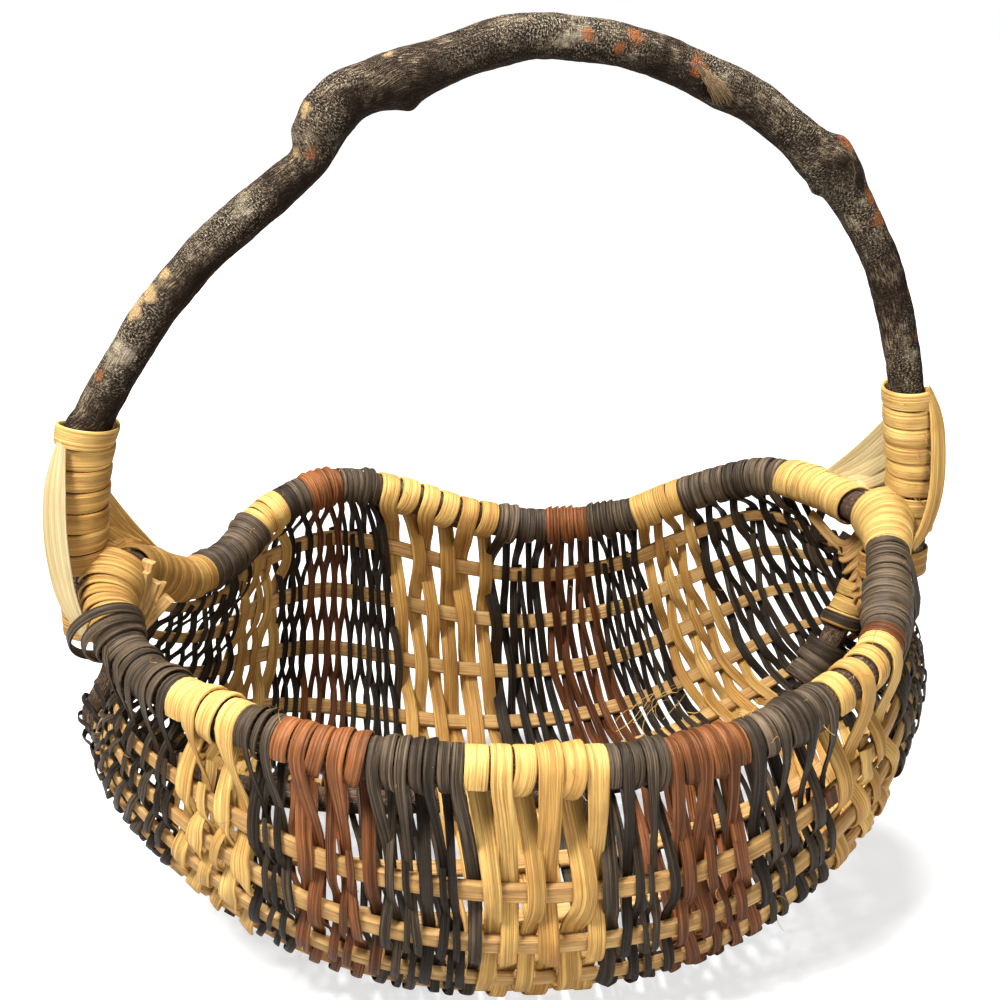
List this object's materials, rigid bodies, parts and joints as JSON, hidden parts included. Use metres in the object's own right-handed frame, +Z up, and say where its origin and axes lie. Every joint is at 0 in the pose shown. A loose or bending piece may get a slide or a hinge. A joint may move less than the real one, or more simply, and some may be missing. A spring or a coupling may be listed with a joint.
{
  "type": "ribbed basket",
  "caption": "Twin-lobed ribbed basket with an arched branch handle, a vine rim and bands of natural, dark and red-brown reed woven over flat ribs.",
  "frame": {"origin": "under the middle of the basket, on the surface that it stands on", "axes": "+X from ear to ear, to the viewer's right, +Y from the front lobe to the back lobe, +Z up"},
  "size_m": [0.4138, 0.2982, 0.4097],
  "materials": {
    "bark": "rough grey-brown bark",
    "vine_bark": "rough vine bark",
    "natural_reed": "plain golden reed",
    "dark_reed": "reed dyed dark grey-brown",
    "red_reed": "reed dyed red-brown",
    "rib_reed": "plain split reed"
  },
  "bodies": {
    "root": {"handle_branch": "bark", "rim_hoop": "vine_bark", "spine_vine": "vine_bark", "front_rib_1": "rib_reed", "front_rib_2": "rib_reed", "front_rib_3": "rib_reed", "front_rib_4": "rib_reed", "front_rib_5": "rib_reed", "front_rib_6": "rib_reed", "front_rib_7": "rib_reed", "back_rib_1": "rib_reed", "back_rib_2": "rib_reed", "back_rib_3": "rib_reed", "back_rib_4": "rib_reed", "back_rib_5": "rib_reed", "back_rib_6": "rib_reed", "back_rib_7": "rib_reed", "dark_band_a": "dark_reed", "natural_band_b": "natural_reed", "dark_band_c": "dark_reed", "red_band_d": "red_reed", "dark_band_e": "dark_reed", "natural_band_f": "natural_reed", "dark_band_g": "dark_reed", "red_band_h": "red_reed", "dark_band_i": "dark_reed", "natural_band_j": "natural_reed", "dark_band_k": "dark_reed", "left_handle_winding": "natural_reed", "left_front_winding": "natural_reed", "left_back_winding": "natural_reed", "left_spine_winding": "natural_reed", "left_front_web": "natural_reed", "left_back_web": "natural_reed", "right_handle_winding": "natural_reed", "right_front_winding": "natural_reed", "right_back_winding": "natural_reed", "right_spine_winding": "natural_reed", "right_front_web": "natural_reed", "right_back_web": "natural_reed"}
  },
  "joints": []
}
